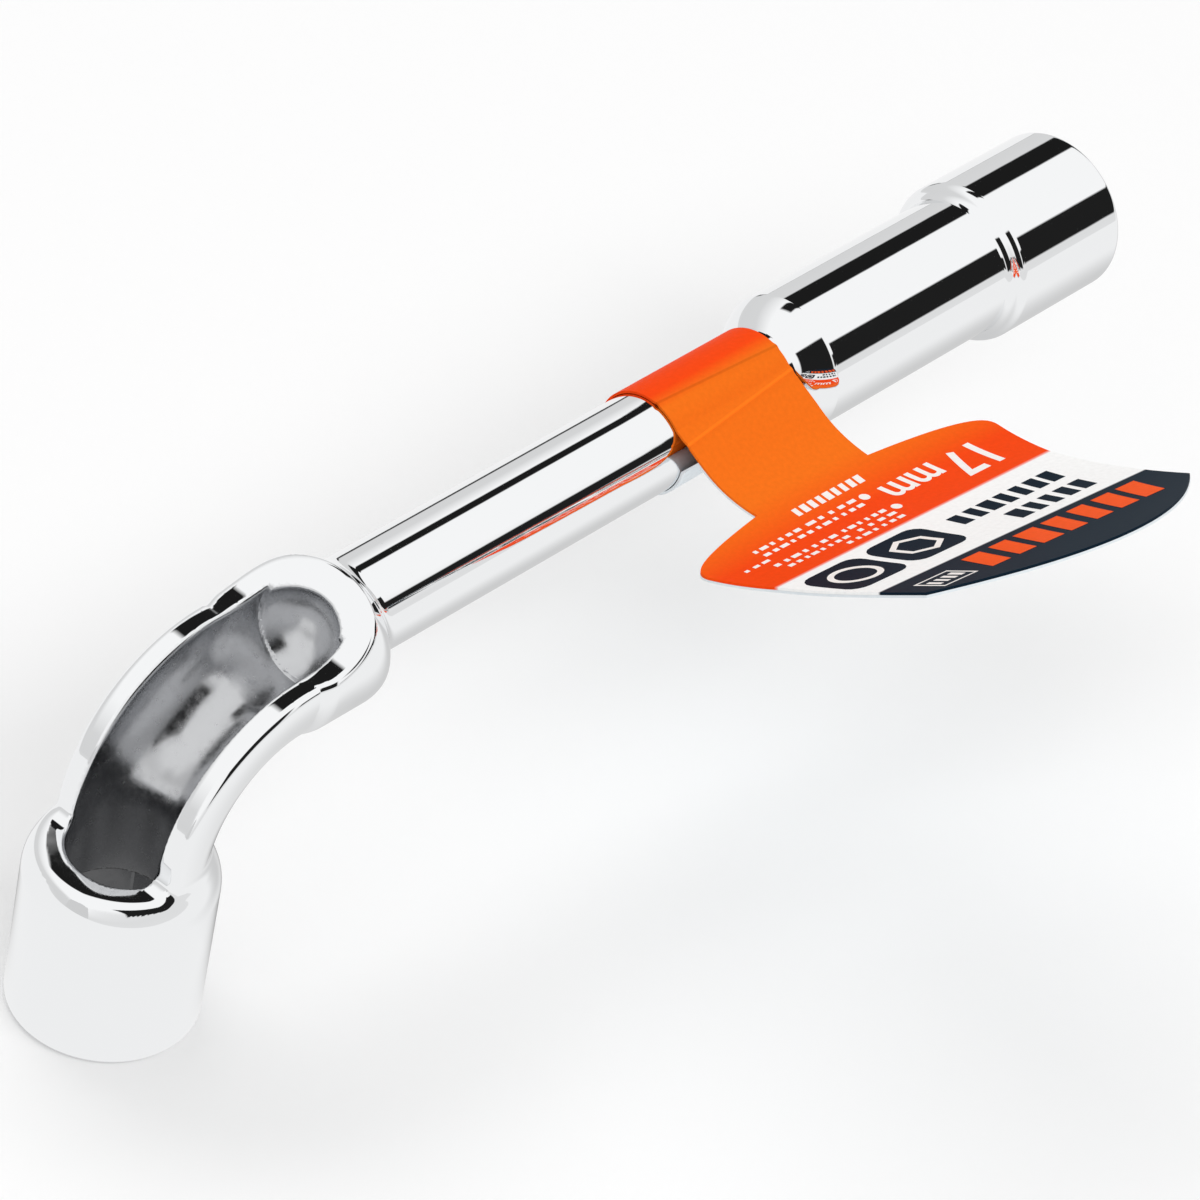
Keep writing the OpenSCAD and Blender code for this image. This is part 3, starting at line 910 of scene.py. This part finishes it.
# One row of printed bars, laid flat: a line of count bars a pitch apart, each as long and
# as high as asked, with lengths that vary by a fixed seed
group = bpy.data.node_groups.new("printed_row", "GeometryNodeTree")
group.interface.new_socket("Geometry", in_out="OUTPUT", socket_type="NodeSocketGeometry")
ROW_INPUTS = {}
for label, kind in (
    ("Count", "NodeSocketInt"), ("Pitch", "NodeSocketFloat"), ("Length", "NodeSocketFloat"),
    ("Height", "NodeSocketFloat"), ("Variation", "NodeSocketFloat"), ("Ink", "NodeSocketMaterial"),
):
    made = group.interface.new_socket(label, in_out="INPUT", socket_type=kind)
    ROW_INPUTS[label] = made.identifier
given = add(group, "NodeGroupInput")
offset = add(group, "ShaderNodeCombineXYZ", [("X", given.outputs["Pitch"])])
line = add(
    group, "GeometryNodeMeshLine",
    [("Count", given.outputs["Count"]), ("Offset", offset.outputs[0])],
)
bar = add(
    group, "GeometryNodeMeshGrid",
    [("Size X", given.outputs["Length"]), ("Size Y", given.outputs["Height"])],
    values={"Vertices X": 2, "Vertices Y": 2},
)
shortest = add(
    group, "ShaderNodeMath", [(1, given.outputs["Variation"])], operation="SUBTRACT",
    values={0: 1.0},
)
length = add(
    group, "FunctionNodeRandomValue", [(2, shortest.outputs[0])], data_type="FLOAT",
    values={3: 1.0, "Seed": 7},
)
size = add(
    group, "ShaderNodeCombineXYZ", [("X", length.outputs[1])], values={"Y": 1.0, "Z": 1.0}
)
placed = add(
    group, "GeometryNodeInstanceOnPoints",
    [("Points", line.outputs[0]), ("Instance", bar.outputs[0]), ("Scale", size.outputs[0])],
)
real = add(group, "GeometryNodeRealizeInstances", [("Geometry", placed.outputs[0])])
inked = add(
    group, "GeometryNodeSetMaterial",
    [("Geometry", real.outputs[0]), ("Material", given.outputs["Ink"])],
)
add(group, "NodeGroupOutput", [(0, inked.outputs[0])])


def outlines_of(obj):
    """A flat object's faces as lists of corners, in millimetres; the object is removed."""
    evaluated = obj.evaluated_get(bpy.context.evaluated_depsgraph_get())
    flat = bpy.data.meshes.new_from_object(evaluated)
    shapes = [[tuple(flat.vertices[i].co[:2]) for i in face.vertices] for face in flat.polygons]
    bpy.data.objects.remove(obj)
    return shapes


def flat_row(count, pitch, length, height, variation, made_of):
    """That row as flat outlines."""
    mesh = bpy.data.meshes.new("row")
    obj = bpy.data.objects.new("row", mesh)
    scene.collection.objects.link(obj)
    modifier = obj.modifiers.new("row", "NODES")
    modifier.node_group = group
    for label, value in (
        ("Count", count), ("Pitch", float(pitch)), ("Length", float(length)),
        ("Height", float(height)), ("Variation", float(variation)), ("Ink", made_of),
    ):
        modifier[ROW_INPUTS[label]] = value
    return outlines_of(obj)


FIGURE_SHARE = 0.7  # of the font's size that a figure's height takes


def figures(words, height, bold):
    """Plain figures as flat outlines, starting at the origin."""
    curve = bpy.data.curves.new("figures", "FONT")
    curve.body = words
    curve.size = height / FIGURE_SHARE
    curve.offset = bold
    obj = bpy.data.objects.new("figures", curve)
    scene.collection.objects.link(obj)
    return outlines_of(obj)


def placed_at(shapes, u, s, slant=0.0):
    """Moves flat outlines onto the card: they read from its far end, so x runs to -u."""
    return [[(u - (x + slant * y), s + y) for x, y in shape] for shape in shapes]


def ring(sides, outer, inner, stretch=1.0, turn=0.0):
    """A frame between two polygons, as outlines."""
    at = [math.radians(turn + 360 * i / sides) for i in range(sides + 1)]
    return [
        [(r * stretch * math.cos(a), r * math.sin(a)) for r, a in (
            (inner, at[i]), (outer, at[i]), (outer, at[i + 1]), (inner, at[i + 1]),
        )] for i in range(sides)
    ]


def panel(width, height, corner):
    """A filled panel with rounded corners, as one outline."""
    points = []
    for cx, cy, start in ((1, 1, 0), (-1, 1, 90), (-1, -1, 180), (1, -1, 270)):
        for k in range(5):
            a = math.radians(start + 22.5 * k)
            points.append((
                cx * (width / 2 - corner) + corner * math.cos(a),
                cy * (height / 2 - corner) + corner * math.sin(a),
            ))
    return [points]


# where outlines are cut so that they bend with the card: axis, from, to and how often;
# the cuts stand a little off the round numbers, where edges of the print may lie
CUTS, OFF_EDGES, WELD = ((0, -32, 34, 1.5), (1, 14, 66, 1.0)), 0.013, 0.002


def printed(name, shapes, made_of, layer=0):
    """Outlines cut into small faces, bent onto the card and given an ink's thickness."""
    edit = bmesh.new()
    for shape in shapes:
        edit.faces.new([edit.verts.new((u, s, 0)) for u, s in shape])
    bmesh.ops.remove_doubles(edit, verts=edit.verts, dist=WELD)
    for axis, low, high, step in CUTS:
        for i in range(int((high - low) / step)):
            at, normal = [0, 0, 0], [0, 0, 0]
            at[axis], normal[axis] = low + i * step + OFF_EDGES, 1
            bmesh.ops.bisect_plane(
                edit, geom=edit.verts[:] + edit.edges[:] + edit.faces[:], plane_co=at,
                plane_no=normal,
            )
    bmesh.ops.recalc_face_normals(edit, faces=edit.faces)
    flat_faces = edit.faces[:]
    if flat_faces[0].normal.z < 0:
        bmesh.ops.reverse_faces(edit, faces=flat_faces)
    raised = bmesh.ops.extrude_face_region(edit, geom=edit.faces[:])["geom"]
    for vertex in [g for g in raised if isinstance(g, bmesh.types.BMVert)]:
        vertex.co.z = 1
    for vertex in edit.verts:
        u, s, top = vertex.co
        h = INK_UNDER + layer * (INK_T + INK_UNDER) + (INK_T if top > 0.5 else 0)
        vertex.co = Vector(on_tag(u, s, h)) * MM
    bmesh.ops.recalc_face_normals(edit, faces=edit.faces)
    mesh = bpy.data.meshes.new(name)
    edit.to_mesh(mesh)
    edit.free()
    obj = bpy.data.objects.new(name, mesh)
    scene.collection.objects.link(obj)
    mesh.materials.append(made_of)
    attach(obj, "tag_card")


size_print = placed_at(figures("17", 6.4, 0.17), 26.7, 22.6)
size_print += placed_at(figures("mm", 5.1, 0.13), 16.8, 22.2)
small_print = placed_at(flat_row(9, 1.6, 1.25, 1.7, 0.3, white_ink), 6.0, 18.9, slant=0.2)
# each further line's u and s, how many bars it has, how far apart they are and how thick
for u, s, count, pitch, thick in (
    (0.6, 22.0, 5, 2.1, 0.72), (-10.6, 22.0, 6, 1.7, 0.72), (0.6, 23.6, 12, 1.75, 0.72),
    (1.0, 26.9, 6, 1.6, 0.8), (-9.3, 26.9, 7, 1.9, 0.8), (1.0, 28.5, 4, 2.2, 0.72),
    (-8.6, 28.5, 8, 1.6, 0.72), (1.0, 30.1, 7, 1.8, 0.72), (-20.6, 24.9, 3, 1.9, 0.6),
):
    small_print += placed_at(
        flat_row(count, pitch, pitch * 0.86, thick, 0.6, white_ink), u, s, slant=0.15
    )
bullets = placed_at(ring(12, 0.8, 0.02), 2.9, 22.4) + placed_at(ring(12, 0.8, 0.02), 3.4, 27.4)
printed("tag_print_size", size_print, white_ink)
printed("tag_print_small", small_print + bullets, white_ink)

HEX_PANEL, RING_PANEL, BADGE_AT = (-7.6, 39.4), (-20.4, 39.4), (-20.9, 54.6)
dark_panel = panel(11.4, 11.0, 2.4)
labels = placed_at(flat_row(7, 3.3, 2.7, 3.8, 0.3, navy_ink), 23.2, 38.2, slant=0.15)
labels += placed_at(flat_row(5, 3.5, 2.8, 3.8, 0.3, navy_ink), 22.4, 44.3, slant=0.15)
panels = placed_at(dark_panel, *HEX_PANEL, slant=0.1)
panels += placed_at(dark_panel, *RING_PANEL, slant=0.1)
printed("tag_print_labels", labels, navy_ink)
printed("tag_print_panels", panels, navy_ink)
marks = placed_at(ring(6, 3.9, 2.9, turn=30), *HEX_PANEL)
marks += placed_at(ring(32, 3.7, 2.8), *RING_PANEL)
printed("tag_print_outlines", marks, white_ink, layer=1)

blocks = placed_at(flat_row(7, 5.7, 4.5, 7.2, 0.2, orange_ink), 22.4, 54.2, slant=0.35)
printed("tag_print_blocks", blocks, orange_ink)
badge = placed_at(ring(4, 3.7, 3.3, stretch=1.35, turn=45), *BADGE_AT)
badge += placed_at(flat_row(4, 1.5, 1.0, 2.4, 0.3, white_ink), -18.7, 54.6)
printed("tag_print_badge", badge, white_ink)
